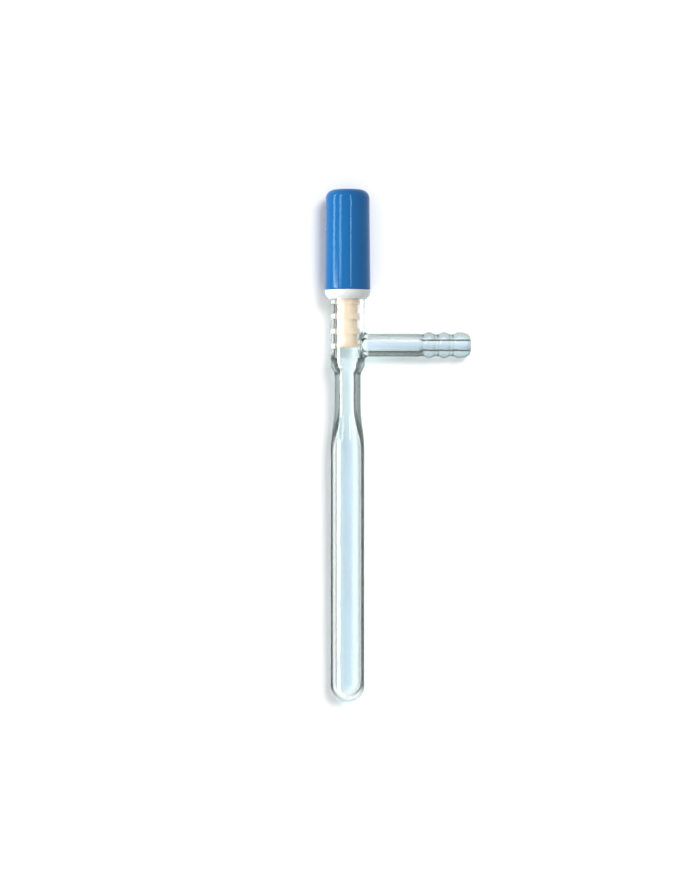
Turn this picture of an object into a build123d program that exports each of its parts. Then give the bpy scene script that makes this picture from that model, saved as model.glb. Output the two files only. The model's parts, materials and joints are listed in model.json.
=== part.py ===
from build123d import *
import os
from math import acos, asin, atan2, cos, degrees, hypot, radians, sin, tan

# A screw-down glass stopcock, in millimetres, lying on its side as it comes to rest.
# Every piece is drawn upright: the valve axis is Z, the round bottom of the stem tube is at
# z = 0 and the side arm points along +X. Radii and heights are those of the upright drawing.
# The last section lays the whole stopcock down and writes one file for each piece.

# Stem tube, neck and seat of the glass body
tube_radius = 7.0
tube_wall = 1.45
bottom_wall = 2.6
tube_length = 101.0  # from the round bottom to where the tube begins to narrow
taper_length = 21.6
neck_bore_radius = 2.4
neck_wall = 3.0
neck_length = 12.2
seat_half_angle = 25.0  # of the seat's cone, in degrees

# Barrel of the glass body
barrel_radius = 7.0
barrel_wall = 1.9
barrel_length = 51.3  # from the top of the seat's cone to the rim
shoulder_lead = 1.6  # the outer shoulder starts this far below the seat
shoulder_length = 4.9
rim_rounding = 0.5

# Side arm with its hose barb
arm_height = 5.3  # of the arm's axis, above the top of the seat's cone
arm_radius = 4.7
arm_wall = 2.35
arm_fillet = 1.6  # where the arm is fused to the barrel
barb_start = 29.0  # from the valve axis
barb_first_crest = 4.3  # from the start of the barb
barb_count = 3
barb_pitch = 6.15
barb_height = 0.85
barb_trough_drop = 0.2  # the troughs are slimmer than the plain arm
barb_bore_radius = 1.7
barb_bore_taper = 2.5
barb_tip_wall = 1.2
barb_tip_length = 4.7  # from the last crest to the arm's tip
barb_tip_fullness = 0.6
barb_tip_shoulder = 0.35

# Screw thread between the glass barrel and the knob's liner
thread_pitch = 3.0
thread_depth = 0.7
thread_crest_width = 0.8
thread_flank_spread = 0.5  # a ridge is this much wider on each side at its root
thread_clearance = 0.3
thread_root_sink = 0.2  # how deep a ridge is rooted in the wall that carries it
glass_thread_turns = 6.0
glass_thread_margin = 1.9  # from the last turn to the barrel's rim
liner_thread_turns = 3.2

# Sliding key
key_clearance = 0.08  # radial, between the ribs and the barrel's bore
valve_opening = 5.2  # lift of the key above its closed place, as photographed
seat_gap = 0.25  # axial play left at the seat when closed
rim_gap = 1.9  # from the barrel's rim to the key's shoulder when closed
nose_height = 0.9
rib_count = 5
rib_pitch = 6.1
rib_half_width = 1.15
rib_first_centre = 0.3  # above the key's tip
rib_depth = 1.0
guide_relief = 0.12  # the plain upper guide is slimmer than the ribs
guide_gap = 1.25  # from the last rib to the guide

# Seal rings in the key's guide
ring_section = 1.6
ring_count = 2
ring_pitch = 6.0
ring_first = 4.5  # from the lower end of the guide to the first ring's middle
ring_side_play = 0.2
ring_floor_play = 0.05

# Swivel that hangs the key in the knob
screw_radius = 1.5
screw_length = 10.0
screw_fit = 0.03
screw_point = 0.3
screw_head_radius = 2.8
screw_head_height = 2.0
screw_head_rounding = 0.9
screw_socket_flats = 2.0
screw_socket_depth = 1.2
screw_hole_spare = 1.0
shank_wall = 1.0
swivel_clearance = 0.06
end_play = 0.05
thrust_washer_thickness = 0.6
thrust_washer_inset = 0.4  # narrower than the key's shoulder
screw_washer_thickness = 0.5
screw_washer_inset = 0.3  # narrower than the thrust washers

# Knob: white threaded liner in a blue shell
liner_wall = 0.6
liner_top_rounding = 0.8
liner_inner_rounding = 0.4
web_thickness = 3.0
pocket_wall = 1.5
pocket_height = 4.7  # above the web
lip_height = 3.7
lip_land = 1.9  # straight part above the rounded flank
lip_setback = 0.1  # the lip is slimmer than the shell's rim
lip_edge_width = 0.3
lip_edge_rounding = 0.1
lip_corner_rounding = 2.6
drive_rib_count = 8
drive_rib_width = 1.2
drive_rib_height = 0.4
drive_rib_margin = 3.0  # from the shell's rim to the ribs
shell_clearance = 0.05
shell_length = 40.8
shell_rim_wall = 1.4
shell_top_wall = 1.0
shell_top_rounding = 3.6
shell_rim_rounding = 0.6
shell_ceiling = 1.8

# Radii that follow from the sizes above
barrel_bore_radius = barrel_radius - barrel_wall
neck_radius = neck_bore_radius + neck_wall
arm_bore_radius = arm_radius - arm_wall
barb_trough_radius = arm_radius - barb_trough_drop
barb_radius = barb_trough_radius + barb_height
barb_tip_radius = barb_bore_radius + barb_tip_wall
glass_thread_root = barrel_radius - thread_depth
liner_bore_radius = barrel_radius + thread_clearance
liner_thread_crest = liner_bore_radius - thread_depth
liner_radius = liner_bore_radius + liner_wall
rib_radius = barrel_bore_radius - key_clearance
groove_radius = rib_radius - rib_depth
guide_radius = rib_radius - guide_relief
shank_radius = screw_radius + shank_wall
thrust_washer_radius = guide_radius - thrust_washer_inset
screw_washer_radius = thrust_washer_radius - screw_washer_inset
pocket_radius = liner_radius - pocket_wall
shell_bore_radius = liner_radius + shell_clearance
shell_rim_radius = shell_bore_radius + shell_rim_wall
shell_top_radius = shell_bore_radius + shell_top_wall
lip_top_radius = shell_rim_radius - lip_setback
lip_edge_radius = liner_bore_radius + lip_edge_width
resting_steps = 40  # places tried along the barb's end for the one that touches the floor

# Heights that follow from the sizes above
neck_bottom = tube_length + taper_length
seat_bottom = neck_bottom + neck_length
seat_slope = tan(radians(seat_half_angle))
seat_top = seat_bottom + (barrel_bore_radius - neck_bore_radius) / seat_slope
barrel_top = seat_top + barrel_length
arm_axis = seat_top + arm_height
last_crest = barb_start + barb_first_crest + (barb_count - 1) * barb_pitch
arm_reach = last_crest + barb_tip_length
nose_radius = rib_radius - nose_height * seat_slope
closed_tip = seat_bottom + (nose_radius - neck_bore_radius) / seat_slope + seat_gap
key_tip = closed_tip + valve_opening
key_shoulder = barrel_top + rim_gap + valve_opening
guide_bottom = key_tip + rib_first_centre + (rib_count - 1) * rib_pitch + rib_half_width + guide_gap
web_bottom = key_shoulder + thrust_washer_thickness + end_play
web_top = web_bottom + web_thickness
shank_top = web_top + end_play + thrust_washer_thickness
liner_top = web_top + pocket_height
shell_top = liner_top + shell_ceiling
shell_bottom = shell_top - shell_length
lip_bottom = shell_bottom - lip_height
glass_thread_bottom = barrel_top - glass_thread_margin - glass_thread_turns * thread_pitch
turns_to_mesh = int(valve_opening / thread_pitch) + 1.5  # the liner's ridge runs half a turn off
liner_thread_bottom = glass_thread_bottom + turns_to_mesh * thread_pitch


def ease(start, end):
    """Smooth S-curve along the axis between two radii, level with the axis at both ends."""
    middle = (start[1] + end[1]) / 2
    return Bezier(start, (start[0], middle), (end[0], middle), end)


def turned_edges(edges):
    """Solid of revolution about the valve axis, from edges drawn as (radius, height)."""
    return revolve(Plane.XZ * make_face(edges), Axis.Z)


def turned(*corners):
    """Solid of revolution from corners given as (radius, height, rounding)."""
    points = [(corner[0], corner[1]) for corner in corners]
    roundings = [corner[2] for corner in corners]
    outline = FilletPolyline(*points, radius=roundings, close=True)
    return turned_edges(outline.edges())


def disc(outer_radius, inner_radius, bottom, thickness):
    """Flat washer about the valve axis."""
    ring = Circle(outer_radius) - Circle(inner_radius)
    return extrude(Plane.XY.offset(bottom) * ring, thickness)


def thread_ridge(wall_radius, crest_radius, bottom, turns):
    """Helical ridge that stands on a round wall and reaches to its crest radius."""
    outward = 1 if crest_radius > wall_radius else -1
    root = wall_radius - outward * thread_root_sink
    half_crest = thread_crest_width / 2
    half_root = half_crest + thread_flank_spread
    profile = Plane.XZ * Polyline(
        (root, -half_root),
        (wall_radius, -half_root),
        (crest_radius, -half_crest),
        (crest_radius, half_crest),
        (wall_radius, half_root),
        (root, half_root),
        close=True,
    )
    path = Helix(thread_pitch, turns * thread_pitch, wall_radius)
    ridge = sweep(make_face(profile.edges()), path=path, is_frenet=True)
    return Pos(0, 0, bottom) * ridge


def glass_outside():
    """Barrel, neck and stem tube as one solid, before the bores."""
    shoulder_bottom = seat_bottom - shoulder_lead
    shoulder_top = shoulder_bottom + shoulder_length
    thread_start = glass_thread_bottom - thread_pitch / 2
    rim_radius = glass_thread_root - rim_rounding
    round_bottom = CenterArc((0, tube_radius), tube_radius, -90, 90)
    edges = [
        round_bottom,
        Line((tube_radius, tube_radius), (tube_radius, tube_length)),
        ease((tube_radius, tube_length), (neck_radius, neck_bottom)),
        Line((neck_radius, neck_bottom), (neck_radius, shoulder_bottom)),
        ease((neck_radius, shoulder_bottom), (barrel_radius, shoulder_top)),
        Line((barrel_radius, shoulder_top), (barrel_radius, thread_start)),
        ease((barrel_radius, thread_start), (glass_thread_root, glass_thread_bottom)),
        Line((glass_thread_root, glass_thread_bottom), (glass_thread_root, barrel_top - rim_rounding)),
        CenterArc((rim_radius, barrel_top - rim_rounding), rim_rounding, 0, 90),
        Line((rim_radius, barrel_top), (0, barrel_top)),
        Line((0, barrel_top), (0, 0)),
    ]
    return turned_edges(edges)


def glass_bore():
    """Hollow of the stem tube, neck, seat and barrel."""
    bore = tube_radius - tube_wall
    centre = bottom_wall + bore
    mouth_radius = barrel_bore_radius + rim_rounding / 2
    edges = [
        CenterArc((0, centre), bore, -90, 90),
        Line((bore, centre), (bore, tube_length)),
        ease((bore, tube_length), (neck_bore_radius, neck_bottom)),
        Line((neck_bore_radius, neck_bottom), (neck_bore_radius, seat_bottom)),
        Line((neck_bore_radius, seat_bottom), (barrel_bore_radius, seat_top)),
        Line((barrel_bore_radius, seat_top), (barrel_bore_radius, barrel_top - rim_rounding / 2)),
        Line((barrel_bore_radius, barrel_top - rim_rounding / 2), (mouth_radius, barrel_top)),
        Line((mouth_radius, barrel_top), (0, barrel_top)),
        Line((0, barrel_top), (0, bottom_wall)),
    ]
    return turned_edges(edges)


def along_arm(edges):
    """Solid of revolution about the side arm's axis, from edges drawn as (reach, radius)."""
    return Pos(0, 0, arm_axis) * revolve(make_face(edges), Axis.X)


def arm_outside():
    """Side arm with a short neck, rounded barbs and a rounded tip."""
    first_trough = barb_start + barb_first_crest - barb_pitch / 2
    edges = [
        Line((0, 0), (0, arm_radius)),
        Line((0, arm_radius), (barb_start, arm_radius)),
        Line((barb_start, arm_radius), (first_trough, barb_trough_radius)),
    ]
    for number in range(barb_count):
        crest = barb_start + barb_first_crest + number * barb_pitch
        before = crest - barb_pitch / 2
        edges.append(arm_ease((before, barb_trough_radius), (crest, barb_radius)))
        if number < barb_count - 1:
            edges.append(arm_ease((crest, barb_radius), (crest + barb_pitch / 2, barb_trough_radius)))
    edges.append(barb_tip_curve())
    edges.append(Line((arm_reach, barb_tip_radius), (arm_reach, 0)))
    edges.append(Line((arm_reach, 0), (0, 0)))
    return along_arm(edges)


def arm_ease(start, end):
    """Smooth S-curve between two radii of the side arm."""
    middle = (start[0] + end[0]) / 2
    return Bezier(start, (middle, start[1]), (middle, end[1]), end)


def barb_tip_curve():
    """Rounded end of the barb, from the last crest to the tip, as (reach, radius)."""
    tip_drop = barb_radius - barb_tip_radius
    return Bezier(
        (last_crest, barb_radius),
        (last_crest + barb_tip_fullness * barb_tip_length, barb_radius),
        (arm_reach, barb_radius - barb_tip_shoulder * tip_drop),
        (arm_reach, barb_tip_radius),
    )


def arm_bore():
    """Bore of the side arm, narrower inside the barb."""
    taper_end = barb_start + barb_bore_taper
    points = [
        (0, 0),
        (0, arm_bore_radius),
        (barb_start, arm_bore_radius),
        (taper_end, barb_bore_radius),
        (arm_reach + 1, barb_bore_radius),
        (arm_reach + 1, 0),
    ]
    return along_arm(Polyline(*points, close=True).edges())


def make_glass_body():
    """Blown glass body: one piece with the barrel's outside thread and the side arm."""
    stem = glass_outside()
    arm = arm_outside()
    body = stem + arm
    body = fillet(new_edges(stem, arm, combined=body), arm_fillet)
    body -= glass_bore()
    body -= arm_bore()
    ridge = thread_ridge(glass_thread_root, barrel_radius, glass_thread_bottom, glass_thread_turns)
    return body + ridge


def make_key():
    """Sliding key with a cone nose, sealing ribs, ring grooves and a shank for the swivel."""
    first_centre = key_tip + rib_first_centre
    corners = [(0, key_tip), (nose_radius, key_tip), (rib_radius, key_tip + nose_height)]
    for number in range(rib_count):
        centre = first_centre + number * rib_pitch
        if number > 0:
            corners.append((groove_radius, centre - rib_half_width))
            corners.append((rib_radius, centre - rib_half_width))
        corners.append((rib_radius, centre + rib_half_width))
        corners.append((groove_radius, centre + rib_half_width))
    corners.append((groove_radius, guide_bottom))
    corners.append((guide_radius, guide_bottom))
    floor = rib_radius - ring_section - ring_floor_play
    half_groove = ring_section / 2 + ring_side_play
    for number in range(ring_count):
        middle = ring_middle(number)
        corners.append((guide_radius, middle - half_groove))
        corners.append((floor, middle - half_groove))
        corners.append((floor, middle + half_groove))
        corners.append((guide_radius, middle + half_groove))
    corners.append((guide_radius, key_shoulder))
    corners.append((shank_radius, key_shoulder))
    corners.append((shank_radius, shank_top))
    corners.append((0, shank_top))
    body = turned_edges(Polyline(*corners, close=True).edges())
    hole_depth = screw_length - screw_washer_thickness + screw_hole_spare
    mouth = Plane.XY.offset(shank_top) * Circle(screw_radius + screw_fit)
    return body - extrude(mouth, -hole_depth)


def ring_middle(number):
    """Height of a seal ring's middle."""
    return guide_bottom + ring_first + number * ring_pitch


def make_seal_ring(number):
    """Round-section rubber ring in its groove on the key's guide."""
    centre_radius = rib_radius - ring_section / 2
    return Pos(0, 0, ring_middle(number)) * Torus(centre_radius, ring_section / 2)


def make_thrust_washer(bottom):
    """Thin plain washer round the key's shank."""
    return disc(thrust_washer_radius, shank_radius + swivel_clearance, bottom, thrust_washer_thickness)


def make_screw_washer():
    """Washer under the screw's head, seated on the end of the key's shank."""
    return disc(screw_washer_radius, screw_radius + screw_fit, shank_top, screw_washer_thickness)


def make_retaining_screw():
    """Screw that ties the key's shank to the knob, with a rounded head and a hexagon socket."""
    seat = shank_top + screw_washer_thickness
    head_top = seat + screw_head_height
    point = seat - screw_length
    screw = turned(
        (0, point, 0),
        (screw_radius - screw_point, point, 0),
        (screw_radius, point + screw_point, 0),
        (screw_radius, seat, 0),
        (screw_head_radius, seat, 0),
        (screw_head_radius, head_top, screw_head_rounding),
        (0, head_top, 0),
    )
    socket = RegularPolygon(screw_socket_flats / 2, 6, major_radius=False)
    return screw - extrude(Plane.XY.offset(head_top) * socket, -screw_socket_depth)


def drive_ribs(inner_radius, outer_radius, width, bottom, top):
    """Straight ribs round the liner, or the grooves for them in the shell."""
    depth = outer_radius - inner_radius
    rib = Pos(inner_radius + depth / 2, 0, (bottom + top) / 2) * Box(depth, width, top - bottom)
    return [Rot(0, 0, number * 360 / drive_rib_count) * rib for number in range(drive_rib_count)]


def make_knob_liner():
    """White liner: rounded lip, threaded sleeve, web for the swivel and a pocket above it."""
    web_bore_radius = shank_radius + swivel_clearance
    body = turned(
        (liner_bore_radius, lip_bottom, 0),
        (lip_edge_radius, lip_bottom, lip_edge_rounding),
        (lip_top_radius, shell_bottom - lip_land, lip_corner_rounding),
        (lip_top_radius, shell_bottom, 0),
        (liner_radius, shell_bottom, 0),
        (liner_radius, liner_top, liner_top_rounding),
        (pocket_radius, liner_top, 0),
        (pocket_radius, web_top, liner_inner_rounding),
        (web_bore_radius, web_top, 0),
        (web_bore_radius, web_bottom, 0),
        (liner_bore_radius, web_bottom, liner_inner_rounding),
    )
    ribs = drive_ribs(
        liner_radius - drive_rib_height,
        liner_radius + drive_rib_height,
        drive_rib_width,
        shell_bottom + drive_rib_margin,
        web_top,
    )
    ridge = thread_ridge(
        liner_bore_radius, liner_thread_crest, liner_thread_bottom, liner_thread_turns
    )
    return body + ribs + ridge


def make_knob_shell():
    """Smooth blue shell with a slight draft, grooved inside for the liner's drive ribs."""
    body = turned(
        (shell_bore_radius, shell_bottom, 0),
        (shell_rim_radius, shell_bottom, shell_rim_rounding),
        (shell_top_radius, shell_top, shell_top_rounding),
        (0, shell_top, 0),
        (0, liner_top, 0),
        (shell_bore_radius, liner_top, liner_top_rounding),
    )
    grooves = drive_ribs(
        shell_bore_radius - drive_rib_height,
        liner_radius + drive_rib_height + shell_clearance,
        drive_rib_width + 2 * shell_clearance,
        shell_bottom,
        web_top + shell_clearance,
    )
    return body - grooves


def resting_turn():
    """Turn that lays the stopcock on the knob's rim, the round bottom and the barb's end."""
    span = shell_bottom + shell_rim_rounding - tube_radius
    tilt = acos(tube_radius / hypot(shell_rim_radius, span)) - atan2(span, shell_rim_radius)
    axis_height = tube_radius + (arm_axis - tube_radius) * sin(tilt)
    curve = barb_tip_curve()
    touching = [curve @ (step / resting_steps) for step in range(resting_steps)]
    droop = min(asin(axis_height / hypot(spot.X, spot.Y)) - atan2(spot.Y, spot.X) for spot in touching)
    roll = asin(sin(droop) / cos(tilt))
    return Rot(degrees(tilt) - 90, 0, 0) * Rot(0, 0, degrees(roll))


def make_pieces():
    """All pieces, upright, under the names of their files."""
    pieces = {
        "glass_body": make_glass_body(),
        "key": make_key(),
        "thrust_washer_lower": make_thrust_washer(key_shoulder),
        "thrust_washer_upper": make_thrust_washer(shank_top - thrust_washer_thickness),
        "screw_washer": make_screw_washer(),
        "retaining_screw": make_retaining_screw(),
        "knob_liner": make_knob_liner(),
        "knob_shell": make_knob_shell(),
    }
    for number in range(ring_count):
        pieces[f"seal_ring_{number + 1}"] = make_seal_ring(number)
    return pieces


def tell(name, radius, height):
    """Print where a point of the upright drawing lies at rest, in metres."""
    point = (rest * Pos(radius, 0, height)).position
    print(name, [round(value / 1000, 6) for value in point])


upright = make_pieces()
turn = resting_turn()
laid_box = Compound(children=[Part() + turn * piece for piece in upright.values()]).bounding_box()
rest = Pos(-laid_box.center().X, -laid_box.center().Y, -laid_box.min.Z) * turn

os.makedirs("parts", exist_ok=True)
for name, piece in upright.items():
    export_step(rest * piece, f"parts/{name}.step")

tell("stem_bottom", 0, 0)
tell("stem_middle", 0, tube_length / 2)
tell("stem_top", 0, tube_length)
tell("arm_axis_in_barrel", 0, arm_axis)
tell("arm_tip", arm_reach, arm_axis)
tell("knob_top", 0, shell_top)
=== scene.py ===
"""Looks of a glass stopcock that lies on a pale floor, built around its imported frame."""
import json
import math

import bpy
from mathutils import Matrix, Vector


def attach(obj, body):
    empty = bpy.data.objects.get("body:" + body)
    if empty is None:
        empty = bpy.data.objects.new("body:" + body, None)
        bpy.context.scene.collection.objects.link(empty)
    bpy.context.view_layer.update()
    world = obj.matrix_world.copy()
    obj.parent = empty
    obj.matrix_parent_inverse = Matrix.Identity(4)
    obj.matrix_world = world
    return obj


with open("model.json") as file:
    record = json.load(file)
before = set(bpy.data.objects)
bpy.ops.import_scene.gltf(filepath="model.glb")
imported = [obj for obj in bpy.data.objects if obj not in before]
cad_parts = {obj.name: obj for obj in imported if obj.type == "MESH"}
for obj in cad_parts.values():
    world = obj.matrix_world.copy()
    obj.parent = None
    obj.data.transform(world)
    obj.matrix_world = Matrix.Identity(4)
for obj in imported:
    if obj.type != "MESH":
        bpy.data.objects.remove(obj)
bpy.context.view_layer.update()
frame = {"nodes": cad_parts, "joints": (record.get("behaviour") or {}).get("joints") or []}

# The photograph and how it was taken, in metres unless said otherwise
PHOTO_WIDTH = 700  # pixels
PHOTO_HEIGHT = 869  # pixels
OBJECT_MIDDLE = (397.9, 446.3)  # pixel of the middle of the object's outline
METRES_PER_PIXEL = 0.000408
LENS = 100.0  # millimetres
SENSOR = 36.0  # millimetres, over the picture's height
AXIS_HEIGHT = 0.0085  # of the tube's axis over the floor

# Floor, sky and lamps
FLOOR_SIZE = 6.0
WHITE = (1.0, 1.0, 1.0, 1.0)
WORLD_STRENGTH = 0.25
SUN_STRENGTH = 1.6
SUN_WIDTH = 20.0  # degrees
SUN_FROM = (0.34, 0.36, 1.0)
SOFT_LAMPS = {
    # place, width, length, watts
    "floor_sky": ((0, 0, 1.6), 2.4, 2.4, 18.0),
    "part_sky": ((-0.6, 0.1, 1.45), 2.0, 2.0, 18.0),
    "left_lamp": ((-0.85, 0.1, 0.5), 0.35, 0.7, 5.0),
}
STRIP_DISTANCE = 0.8
BLUISH = (0.45, 0.84, 1.0)
STRIPS = {
    # lean to the left in degrees, width, lower end, upper end, radiance, tint
    "low_strip": (73, 0.16, 0.108, 0.7, 13.0, BLUISH),
    "window": (62, 0.29, -0.7, 0.113, 20.0, (0.88, 1.0, 0.97)),
    "high_strip": (38, 0.15, 0.108, 0.7, 12.0, BLUISH),
    "top_strip": (-15, 0.08, 0.108, 0.7, 15.0, BLUISH),
}

# The valve's axis, which the knob turns about
knob_joint = next(joint for joint in frame["joints"] if joint["name"] == "knob_turn")
VALVE_POINT = Vector(knob_joint["pos_m"])
VALVE_DIRECTION = Vector(knob_joint["axis"])
VALVE_AXIS = VALVE_POINT.x

# Where the glass's look passes from one stretch or side to the next, as (from, to)
ROUND_END = (-0.103, -0.096)
NECK_START = (-0.002, 0.008)
FUNNEL_START = (0.029, 0.033)
BARREL_START = (0.036, 0.038)
RIGHT_SIDE = (VALVE_AXIS - 0.003, VALVE_AXIS + 0.003)
ARM_START = (VALVE_AXIS + 0.007, VALVE_AXIS + 0.009)
BARBS_START = (0.0098, 0.0108)
LOWER_SIDE = (-0.002, 0.002)  # below the arm's axis
OUTWARD = (-0.0001, 0.0001)
ARM_AXIS = 0.0413  # along the tube
ARM_HEIGHT = 0.009  # of the arm's axis over the floor, at the valve's axis
ARM_DROP = 0.08  # metres for each metre of the arm

# Tints of the glass; the last is the dark of its painted dark edges and bands, and of the shadow it
# casts
TUBE_TINT = (0.82, 0.86, 0.915, 1.0)
CLEAR_TINT = (0.95, 0.975, 0.975, 1.0)
DARK_EDGE_AND_SHADOW_TINT = (0.12, 0.15, 0.14, 1.0)

# Films where the key's ribs bear on the barrel's bore, pale as a painted highlight
FILM_COUNT = 5
RIB_PITCH = 0.0061
FIRST_FILM = 0.0408  # along the tube
FILM_RADIUS = 0.00509
FILM_THICKNESS = 0.00006
FILM_WIDTH = 0.0021
FILM_START = 163.0  # degrees about the valve's axis
FILM_SWEEP = 46.0


def srgb(red, green, blue):
    """Linear colour of a screen colour given in 0 to 255."""
    def linear(value):
        share = value / 255
        return share / 12.92 if share <= 0.04045 else ((share + 0.055) / 1.055) ** 2.4
    return (linear(red), linear(green), linear(blue), 1.0)


def add_node(tree, kind, settings=None, sockets=None):
    """Adds a node to a tree: its settings first, then a value or a link for each socket."""
    made = tree.nodes.new(kind)
    for name, value in (settings or {}).items():
        setattr(made, name, value)
    for name, value in (sockets or {}).items():
        if isinstance(value, bpy.types.NodeSocket):
            tree.links.new(value, made.inputs[name])
        else:
            made.inputs[name].default_value = value
    return made


class Wire:
    """Output of a node in a recipe. One that carries a number adds up as Python numbers do."""

    def __init__(self, recipe, socket):
        self.recipe = recipe
        self.socket = socket

    def maths(self, operation, first, second):
        return self.recipe.node("ShaderNodeMath", {"operation": operation}, {0: first, 1: second})

    def __add__(self, other):
        return self.maths("ADD", self, other)

    def __radd__(self, other):
        return self.maths("ADD", other, self)

    def __sub__(self, other):
        return self.maths("SUBTRACT", self, other)

    def __rsub__(self, other):
        return self.maths("SUBTRACT", other, self)

    def __mul__(self, other):
        return self.maths("MULTIPLY", self, other)

    def __rmul__(self, other):
        return self.maths("MULTIPLY", other, self)

    def __or__(self, other):
        """Larger of two masks."""
        return self.maths("MAXIMUM", self, other)


class Recipe:
    """Shader tree of one material, or of the world."""

    def __init__(self, owner):
        owner.use_nodes = True
        self.owner = owner
        self.tree = owner.node_tree
        self.tree.nodes.clear()

    def node(self, kind, settings=None, sockets=None, out=0):
        """Adds a node with its settings and sockets, and gives one of its outputs."""
        plain = {}
        for name, value in (sockets or {}).items():
            plain[name] = value.socket if isinstance(value, Wire) else value
        return Wire(self, add_node(self.tree, kind, settings, plain).outputs[out])

    def place(self):
        """Point of the surface, in the frame."""
        return self.node("ShaderNodeTexCoord", out="Object")

    def part(self, vector, axis):
        """One number of a vector."""
        return self.node("ShaderNodeSeparateXYZ", None, {0: vector}, axis)

    def rise(self, value, low, high):
        """Smooth rise from 0 at the low value to 1 at the high one."""
        sockets = {"Value": value, "From Min": low, "From Max": high}
        return self.node("ShaderNodeMapRange", {"interpolation_type": "SMOOTHSTEP"}, sockets)

    def mix(self, share, first, second):
        """Number between two numbers."""
        return self.node("ShaderNodeMix", {"data_type": "FLOAT"}, {0: share, 2: first, 3: second})

    def blend(self, share, first, second):
        """Colour between two colours."""
        sockets = {0: share, 6: first, 7: second}
        return self.node("ShaderNodeMix", {"data_type": "RGBA"}, sockets, 2)

    def layer(self, share, first, second):
        """Shader between two shaders."""
        return self.node("ShaderNodeMixShader", None, {0: share, 1: first, 2: second})

    def noise(self, place, scale, detail):
        """Cloudy number about 0.5, in so many patches to the metre."""
        sockets = {"Vector": place, "Scale": scale, "Detail": detail}
        return self.node("ShaderNodeTexNoise", None, sockets, "Fac")

    def bump(self, height, distance):
        """Normal of a surface that stands up by a share of the distance."""
        return self.node("ShaderNodeBump", None, {"Height": height, "Distance": distance}, "Normal")

    def principled(self, sockets):
        return self.node("ShaderNodeBsdfPrincipled", None, sockets, "BSDF")

    def finish(self, surface):
        """Ends the tree in its surface, and gives back the material or the world."""
        kind = "World" if isinstance(self.owner, bpy.types.World) else "Material"
        add_node(self.tree, "ShaderNodeOutput" + kind, None, {"Surface": surface.socket})
        return self.owner


class GlassMasks:
    """Masks from 0 to 1 for the stretches, sides and surfaces of the glass."""

    def __init__(self, recipe, place):
        across, along, up = (recipe.part(place, axis) for axis in "XYZ")
        self.recipe = recipe
        self.grazing = recipe.node("ShaderNodeLayerWeight", None, {"Blend": 0.5}, "Facing")
        self.inside = recipe.node("ShaderNodeNewGeometry", out="Backfacing")
        self.outermost = recipe.rise(self.grazing, 0.7, 0.8)
        self.in_neck = recipe.rise(along, *NECK_START)
        self.in_funnel = recipe.rise(along, *FUNNEL_START)
        self.in_barrel = recipe.rise(along, *BARREL_START)
        self.in_arm = recipe.rise(across, *ARM_START)
        self.in_barbs = recipe.rise(across, *BARBS_START)
        self.on_right = recipe.rise(across, *RIGHT_SIDE)
        self.on_lower = recipe.rise(ARM_AXIS - along, *LOWER_SIDE)
        self.on_length = 0.3 + 0.7 * recipe.rise(along, *ROUND_END)
        self.outer = self.outer_surface(across, along, up)

    def outer_surface(self, across, along, up):
        """1 where the normal points away from the axis, as it does outside, and 0 in a bore."""
        recipe = self.recipe
        normal = recipe.node("ShaderNodeNewGeometry", out="Normal")
        upward = recipe.part(normal, "Z")
        arm_height = ARM_HEIGHT - ARM_DROP * (across - VALVE_AXIS)
        from_valve = (across - VALVE_AXIS) * recipe.part(normal, "X") + (up - AXIS_HEIGHT) * upward
        from_arm = (along - ARM_AXIS) * recipe.part(normal, "Y") + (up - arm_height) * upward
        outward = recipe.mix(self.in_arm, from_valve, from_arm) * (1.0 - 2.0 * self.inside)
        return recipe.rise(outward, *OUTWARD)

    def zoned(self, tube, neck, barrel, arm):
        """Number that changes from one stretch of the glass to the next."""
        stem = self.recipe.mix(self.in_neck, tube, neck)
        return self.recipe.mix(self.in_arm, self.recipe.mix(self.in_barrel, stem, barrel), arm)

    def sides(self, left, right):
        """Number that changes from the left of the valve's axis to the right."""
        return self.recipe.mix(self.on_right, left, right)

    def halves(self, upper, lower):
        """Number that changes from above the arm's axis to below it, as the picture shows it."""
        return self.recipe.mix(self.on_lower, upper, lower)


def tint_and_painted_edge_shade(recipe, masks):
    """Bluish square on, and a painted dark grey-green shade where the walls are seen edge on,
    stronger on some sides of the glass than on others.
    """
    zoned, sides, halves = masks.zoned, masks.sides, masks.halves
    square_on = recipe.blend(zoned(0.0, 0.6, 0.95, 0.1), TUBE_TINT, CLEAR_TINT)
    pale_from = recipe.mix(masks.in_arm, 0.015, 0.1)
    pale_to = recipe.mix(masks.in_arm, 0.09, 0.14)
    tint = recipe.blend(recipe.rise(masks.grazing, pale_from, pale_to), square_on, CLEAR_TINT)
    # Painted shade: how dark the edges are painted, by stretch and by side.
    edge_shade_strength = zoned(
        sides(0.95 * masks.outer, 0.8) * masks.on_length,
        masks.outer * sides(0.93, 0.97) * (1.0 - 0.3 * masks.in_funnel),
        (1.0 - masks.outer) * sides(0.95, 0.15),
        masks.outer * halves(0.7, 0.97) * (1.0 - masks.in_barbs * halves(0.1, 0.55)),
    )
    dark_from = zoned(sides(0.36, 0.1), 0.08, 0.13, halves(0.08, 0.03))
    dark_to = zoned(sides(0.62, 0.5), 0.3, 0.27, halves(0.3, 0.2))
    paler_rim = zoned(0.6, 0.5, 0.0, 0.3) * masks.outermost
    # Painted dark edge, where the glass is seen edge on.
    painted_edge_shade = recipe.rise(masks.grazing, dark_from, dark_to) * (1.0 - paler_rim)
    return recipe.blend(painted_edge_shade * edge_shade_strength, tint, DARK_EDGE_AND_SHADOW_TINT)


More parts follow.
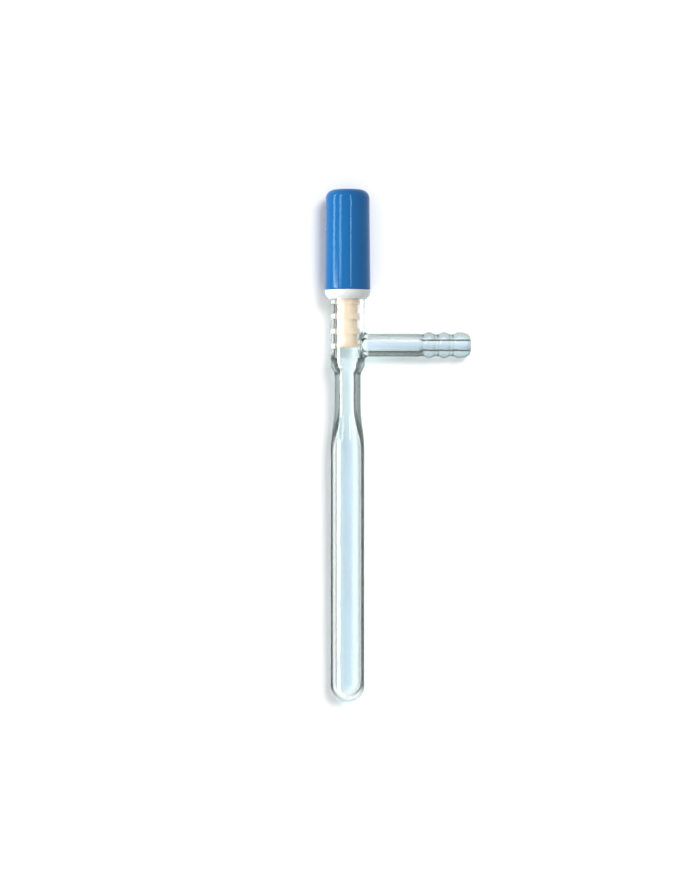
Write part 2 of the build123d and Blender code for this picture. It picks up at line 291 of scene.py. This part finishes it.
def painted_dark_reflections(recipe, masks):
    """Painted dark reflection: dark bands where total reflection in the bores would show dark, and
    a painted dark rim outside, both stronger on some sides than on others.
    """
    zoned, sides, halves = masks.zoned, masks.sides, masks.halves
    band_end = zoned(0.44, 1.2, 0.44, recipe.mix(masks.in_barbs, 0.6, 1.2))
    band = recipe.rise(masks.grazing, 0.26, 0.28) * (
        1.0 - recipe.rise(masks.grazing, 0.32, band_end)
    )
    in_bore = zoned(
        sides(0.1, 0.95) * masks.on_length,
        0.9,
        sides(0.9, 0.0),
        recipe.mix(masks.in_barbs, halves(0.3, 0.95), 0.97),
    )
    rim = recipe.rise(masks.grazing, 0.4, 0.6) * (1.0 - masks.outermost)
    on_rim = zoned(sides(0.75, 0.55) * masks.on_length, 0.2, 0.0, halves(0.0, 0.4))
    return recipe.mix(masks.inside, masks.outer * rim * on_rim, band * in_bore)


def shadow_depth(recipe, masks):
    """How much light the glass keeps from the floor, so that its shadow falls to the left."""
    kept = masks.zoned(
        masks.sides(1.0, 0.0), masks.sides(0.7, 0.0), masks.sides(0.2, 0.0), masks.on_lower
    )
    return recipe.rise(masks.grazing, 0.02, 0.25) * kept


def clear_glass():
    """Blown glass, with painted dark edges and painted dark reflection bands, and a shadow that it
    casts darker from some sides.
    """
    recipe = Recipe(bpy.data.materials.new("clear_glass"))
    place = recipe.place()
    masks = GlassMasks(recipe, place)
    glass = recipe.principled({
        "Base Color": tint_and_painted_edge_shade(recipe, masks),
        "Roughness": 0.0,
        "IOR": 1.47,
        "Transmission Weight": 1.0,
        "Normal": recipe.bump(recipe.noise(place, 90.0, 1.0), 0.00006),
    })
    dark_edge_and_shadow = recipe.node("ShaderNodeBsdfTransparent", None, {"Color": DARK_EDGE_AND_SHADOW_TINT})
    clear = recipe.node("ShaderNodeBsdfTransparent", None, {"Color": CLEAR_TINT})
    seen = recipe.layer(painted_dark_reflections(recipe, masks), glass, dark_edge_and_shadow)
    in_shadow = recipe.layer(shadow_depth(recipe, masks), clear, dark_edge_and_shadow)
    shadow_ray = recipe.node("ShaderNodeLightPath", out="Is Shadow Ray")
    return recipe.finish(recipe.layer(shadow_ray, seen, in_shadow))


def blue_plastic():
    """Glossy moulded plastic of the knob's shell."""
    recipe = Recipe(bpy.data.materials.new("blue_plastic"))
    place = recipe.place()
    broad = recipe.noise(place, 70.0, 3.0)
    grain = recipe.noise(place, 2600.0, 2.0)
    return recipe.finish(recipe.principled({
        "Base Color": recipe.blend(broad, srgb(10, 104, 174), srgb(16, 114, 184)),
        "Roughness": 0.05 + 0.04 * broad,
        "IOR": 1.45,
        "Specular IOR Level": 0.25,
        "Normal": recipe.bump(grain, 0.000004),
    }))


def white_plastic():
    """Satin white plastic of the liner and the thrust washers."""
    recipe = Recipe(bpy.data.materials.new("white_plastic"))
    place = recipe.place()
    broad = recipe.noise(place, 90.0, 3.0)
    grain = recipe.noise(place, 3000.0, 2.0)
    return recipe.finish(recipe.principled({
        "Base Color": recipe.blend(broad, (0.83, 0.88, 0.87, 1.0), (0.88, 0.92, 0.91, 1.0)),
        "Roughness": 0.34 + 0.1 * broad,
        "Subsurface Weight": 0.2,
        "Subsurface Radius": (0.001, 0.001, 0.001),
        "Normal": recipe.bump(grain, 0.000005),
    }))


def cream_plastic():
    """Waxy cream plastic of the key, with the fine rings of turning."""
    recipe = Recipe(bpy.data.materials.new("cream_plastic"))
    place = recipe.place()
    broad = recipe.noise(place, 120.0, 3.0)
    rings = recipe.node(
        "ShaderNodeTexWave",
        {"wave_type": "BANDS", "bands_direction": "Y"},
        {"Vector": place, "Scale": 320.0, "Distortion": 0.4, "Detail": 1.0},
        "Fac",
    )
    return recipe.finish(recipe.principled({
        "Base Color": recipe.blend(broad, srgb(224, 190, 161), srgb(233, 201, 173)),
        "Roughness": 0.28 + 0.1 * broad,
        "IOR": 1.6,
        "Subsurface Weight": 0.25,
        "Subsurface Radius": (0.002, 0.0015, 0.001),
        "Normal": recipe.bump(rings, 0.000008),
    }))


def painted_pale_film():
    """Pale, faintly mottled film between a rib and the glass; its pale is a painted highlight."""
    recipe = Recipe(bpy.data.materials.new("painted_pale_film"))
    mottle = recipe.noise(recipe.place(), 1500.0, 3.0)
    return recipe.finish(recipe.principled({
        "Base Color": recipe.blend(mottle, (0.85, 0.85, 0.83, 1.0), (0.9, 0.9, 0.88, 1.0)),
        "Roughness": 0.4 + 0.2 * mottle,
        "Normal": recipe.bump(mottle, 0.000004),
    }))


def seal_rubber():
    """Matt black rubber of the seal rings."""
    recipe = Recipe(bpy.data.materials.new("seal_rubber"))
    grain = recipe.noise(recipe.place(), 2500.0, 3.0)
    return recipe.finish(recipe.principled({
        "Base Color": recipe.blend(grain, (0.018, 0.018, 0.018, 1.0), (0.03, 0.03, 0.03, 1.0)),
        "Roughness": 0.6 + 0.15 * grain,
        "Normal": recipe.bump(grain, 0.00001),
    }))


def bright_steel():
    """Turned stainless steel of the hidden screw and its washer."""
    recipe = Recipe(bpy.data.materials.new("bright_steel"))
    grain = recipe.noise(recipe.place(), 1800.0, 3.0)
    return recipe.finish(recipe.principled({
        "Base Color": recipe.blend(grain, (0.55, 0.55, 0.55, 1.0), (0.66, 0.66, 0.65, 1.0)),
        "Metallic": 1.0,
        "Roughness": 0.25 + 0.15 * grain,
        "Normal": recipe.bump(grain, 0.000004),
    }))


def white_paint():
    """Matt white of the floor, faintly mottled."""
    recipe = Recipe(bpy.data.materials.new("white_floor"))
    mottle = recipe.noise(recipe.place(), 3.0, 2.0)
    darker = recipe.node("ShaderNodeBsdfDiffuse", None, {"Color": (0.97, 0.97, 0.97, 1.0)})
    lighter = recipe.node("ShaderNodeBsdfDiffuse", None, {"Color": (0.98, 0.98, 0.98, 1.0)})
    return recipe.finish(recipe.layer(mottle, darker, lighter))


def contact_film_tree():
    """Geometry Nodes group: a row of thin curved films, where ribs bear on the bore."""
    tree = bpy.data.node_groups.new("contact_films", "GeometryNodeTree")
    tree.interface.new_socket("Geometry", in_out="OUTPUT", socket_type="NodeSocketGeometry")
    tree.interface.new_socket("Count", in_out="INPUT", socket_type="NodeSocketInt")
    for name in ("Pitch", "Radius", "Width", "Thickness", "Start", "Sweep"):
        tree.interface.new_socket(name, in_out="INPUT", socket_type="NodeSocketFloat")
    tree.interface.new_socket("Material", in_out="INPUT", socket_type="NodeSocketMaterial")
    given = tree.nodes.new("NodeGroupInput").outputs

    def add(kind, sockets, settings=None):
        return add_node(tree, kind, settings, sockets).outputs[0]

    arc = add("GeometryNodeCurveArc", {
        "Resolution": 24, "Radius": given["Radius"],
        "Start Angle": given["Start"], "Sweep Angle": given["Sweep"],
    }, {"mode": "RADIUS"})
    section = add("GeometryNodeCurvePrimitiveQuadrilateral", {
        "Width": given["Thickness"], "Height": given["Width"],
    })
    film = add("GeometryNodeCurveToMesh", {
        "Curve": arc, "Profile Curve": section, "Fill Caps": True,
    })
    step = add("ShaderNodeCombineXYZ", {"Z": given["Pitch"]})
    row = add("GeometryNodeMeshLine", {"Count": given["Count"], "Offset": step})
    copies = add("GeometryNodeInstanceOnPoints", {"Points": row, "Instance": film})
    real = add("GeometryNodeRealizeInstances", {0: copies})
    dressed = add("GeometryNodeSetMaterial", {0: real, "Material": given["Material"]})
    add_node(tree, "NodeGroupOutput", None, {0: dressed})
    return tree


def make_contact_films(material):
    """Films where the key's ribs bear on the left side of the barrel's bore, pale as a painted
    highlight.
    """
    maker = bpy.data.objects.new("film_maker", bpy.data.meshes.new("film_maker"))
    bpy.context.scene.collection.objects.link(maker)
    modifier = maker.modifiers.new("films", "NODES")
    modifier.node_group = contact_film_tree()
    sizes = {
        "Count": FILM_COUNT, "Pitch": RIB_PITCH, "Radius": FILM_RADIUS,
        "Width": FILM_WIDTH, "Thickness": FILM_THICKNESS,
        "Start": math.radians(FILM_START), "Sweep": math.radians(FILM_SWEEP),
        "Material": material,
    }
    for socket in modifier.node_group.interface.items_tree:
        if socket.name in sizes:
            modifier[socket.identifier] = sizes[socket.name]
    evaluated = maker.evaluated_get(bpy.context.evaluated_depsgraph_get())
    finished = bpy.data.meshes.new_from_object(evaluated)
    bpy.data.objects.remove(maker)
    reach = (FIRST_FILM - VALVE_POINT.y) / VALVE_DIRECTION.y
    tilt = Vector((0, 0, 1)).rotation_difference(VALVE_DIRECTION).to_matrix().to_4x4()
    finished.transform(Matrix.Translation(VALVE_POINT + reach * VALVE_DIRECTION) @ tilt)
    films = bpy.data.objects.new("rib_contact_painted_highlight", finished)
    bpy.context.scene.collection.objects.link(films)
    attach(films, "key")


def dress(name, material):
    """Gives a node its material."""
    node = frame["nodes"][name]
    node.data.materials.clear()
    node.data.materials.append(material)


def make_floor():
    """Plain white floor."""
    bpy.ops.mesh.primitive_plane_add(size=FLOOR_SIZE)
    floor = bpy.context.object
    floor.name = "floor"
    floor.data.materials.append(white_paint())
    return floor


def make_world():
    """Dim white sky, which the camera, gloss and glass see as plain white."""
    recipe = Recipe(bpy.data.worlds.new("studio"))
    camera = recipe.node("ShaderNodeLightPath", out="Is Camera Ray")
    gloss = recipe.node("ShaderNodeLightPath", out="Is Glossy Ray")
    glass = recipe.node("ShaderNodeLightPath", out="Is Transmission Ray")
    dim_sky = {"Color": WHITE, "Strength": WORLD_STRENGTH}
    backdrop = {"Color": WHITE, "Strength": 1.0}
    bpy.context.scene.world = recipe.finish(recipe.layer(
        camera | gloss | glass,
        recipe.node("ShaderNodeBackground", None, dim_sky),
        recipe.node("ShaderNodeBackground", None, backdrop),
    ))


def add_lamp(name, kind, energy, toward):
    """Lamp of a kind that shines from a direction."""
    data = bpy.data.lights.new(name, kind)
    data.energy = energy
    lamp = bpy.data.objects.new(name, data)
    lamp.rotation_euler = Vector(toward).to_track_quat("Z", "Y").to_euler()
    bpy.context.scene.collection.objects.link(lamp)
    return lamp


def shadow_sun():
    """Soft distant light from the upper right that gives the floor the object's shadow."""
    sun = add_lamp("shadow_sun", "SUN", SUN_STRENGTH, SUN_FROM)
    sun.data.angle = math.radians(SUN_WIDTH)
    return sun


def area_lamp(name, place, aim, width, length, power):
    """Soft rectangular lamp that looks at a point."""
    lamp = add_lamp(name, "AREA", power, Vector(place) - Vector(aim))
    lamp.location = place
    lamp.data.shape = "RECTANGLE"
    lamp.data.size = width
    lamp.data.size_y = length
    return lamp


def soft_lamp(name, place, width, length, power):
    """Lamp that lights without showing in gloss or through glass."""
    lamp = area_lamp(name, place, (0, 0, 0), width, length, power)
    lamp.visible_glossy = False
    lamp.visible_transmission = False
    return lamp


def strip_lamp(name, lean, width, lower, upper, glow, tint):
    """Tall lamp that shows only as a streak in glossy surfaces."""
    angle = math.radians(lean)
    aim = (0, (lower + upper) / 2, 0)
    place = (-STRIP_DISTANCE * math.sin(angle), aim[1], STRIP_DISTANCE * math.cos(angle))
    length = upper - lower
    lamp = area_lamp(name, place, aim, length, width, glow * math.pi * width * length)
    lamp.data.color = tint
    lamp.visible_diffuse = False
    lamp.visible_transmission = False
    return lamp


def link_lamp(lamp, floor, only_floor):
    """Lets a lamp light only the floor, or all but the floor."""
    chosen = bpy.data.collections.new(lamp.name + "_lights")
    chosen.objects.link(floor)
    lamp.light_linking.receiver_collection = chosen
    chosen.collection_objects[0].light_linking.link_state = "INCLUDE" if only_floor else "EXCLUDE"


def make_lights(floor):
    """Sun and one soft lamp for the floor alone, and every other lamp for the part alone."""
    link_lamp(shadow_sun(), floor, True)
    for name, lamp in SOFT_LAMPS.items():
        link_lamp(soft_lamp(name, *lamp), floor, name == "floor_sky")
    for name, strip in STRIPS.items():
        link_lamp(strip_lamp(name, *strip), floor, False)


def make_camera():
    """Camera straight above, framed as the photograph is."""
    data = bpy.data.cameras.new("camera")
    data.lens = LENS
    data.sensor_fit = "VERTICAL"
    data.sensor_height = SENSOR
    camera = bpy.data.objects.new("camera", data)
    distance = LENS * PHOTO_HEIGHT * METRES_PER_PIXEL / SENSOR
    right = (PHOTO_WIDTH / 2 - OBJECT_MIDDLE[0]) * METRES_PER_PIXEL
    up = (OBJECT_MIDDLE[1] - PHOTO_HEIGHT / 2) * METRES_PER_PIXEL
    camera.location = (right, up, AXIS_HEIGHT + distance)
    bpy.context.scene.collection.objects.link(camera)
    bpy.context.scene.camera = camera


finishes = {
    clear_glass: ["glass_body"],
    cream_plastic: ["key"],
    blue_plastic: ["knob_shell"],
    white_plastic: ["knob_liner", "thrust_washer_lower", "thrust_washer_upper"],
    bright_steel: ["retaining_screw", "screw_washer"],
    seal_rubber: ["seal_ring_1", "seal_ring_2"],
}
for finish, names in finishes.items():
    material = finish()
    for name in names:
        dress(name, material)
make_contact_films(painted_pale_film())
make_camera()
make_world()
make_lights(make_floor())

bpy.context.scene.view_settings.view_transform = "Standard"
